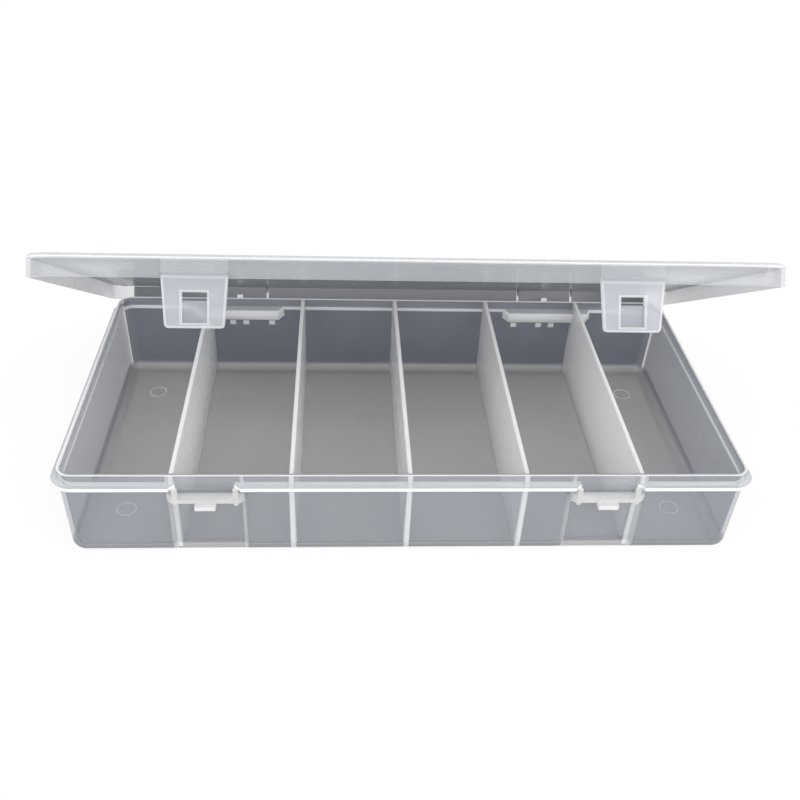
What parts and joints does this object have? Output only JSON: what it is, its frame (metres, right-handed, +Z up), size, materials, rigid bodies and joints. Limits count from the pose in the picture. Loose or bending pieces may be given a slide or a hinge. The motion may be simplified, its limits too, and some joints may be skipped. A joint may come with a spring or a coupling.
{
  "type": "compartment tackle box",
  "caption": "Low clear-plastic tackle box: tray shared out by fixed dividers, hinged skirted lid that stands open, snap latch flaps that hook on catches.",
  "frame": {"origin": "centre of the tray's underside, on the surface that the box stands on", "axes": "+X along the length, to the right as seen from the latches; +Y towards the hinges; +Z up. The lid stands open 33 degrees at rest."},
  "size_m": [0.213, 0.1157, 0.0923],
  "materials": {
    "tray_plastic": "clear milky polypropylene, smooth",
    "lid_plastic": "clear milky polypropylene, smooth",
    "latch_plastic": "clear milky polypropylene, smooth"
  },
  "bodies": {
    "tray": {"base_tray": "tray_plastic", "divider_1": "tray_plastic", "divider_2": "tray_plastic", "divider_3": "tray_plastic", "divider_4": "tray_plastic", "divider_5": "tray_plastic", "left_catch": "tray_plastic", "right_catch": "tray_plastic", "left_hinge_lugs": "tray_plastic", "right_hinge_lugs": "tray_plastic", "left_hinge_pins": "tray_plastic", "right_hinge_pins": "tray_plastic"},
    "lid": {"lid_shell": "lid_plastic", "left_hinge_clips": "lid_plastic", "right_hinge_clips": "lid_plastic"},
    "left_latch": {"left_latch_flap": "latch_plastic"},
    "right_latch": {"right_latch_flap": "latch_plastic"}
  },
  "joints": [
    {"name": "lid_hinge", "type": "hinge", "parent": "tray", "child": "lid", "pos_m": [0, 0.0568, 0.0235], "axis": [-1, 0, 0], "range_deg": [-33, 147]},
    {"name": "left_latch_flex", "type": "hinge", "parent": "lid", "child": "left_latch", "pos_m": [-0.06, -0.03488, 0.08733], "axis": [-1, 0, 0], "range_deg": [0, 35], "stiffness_Nm_per_rad": 0.05},
    {"name": "right_latch_flex", "type": "hinge", "parent": "lid", "child": "right_latch", "pos_m": [0.06, -0.03488, 0.08733], "axis": [-1, 0, 0], "range_deg": [0, 35], "stiffness_Nm_per_rad": 0.05}
  ]
}
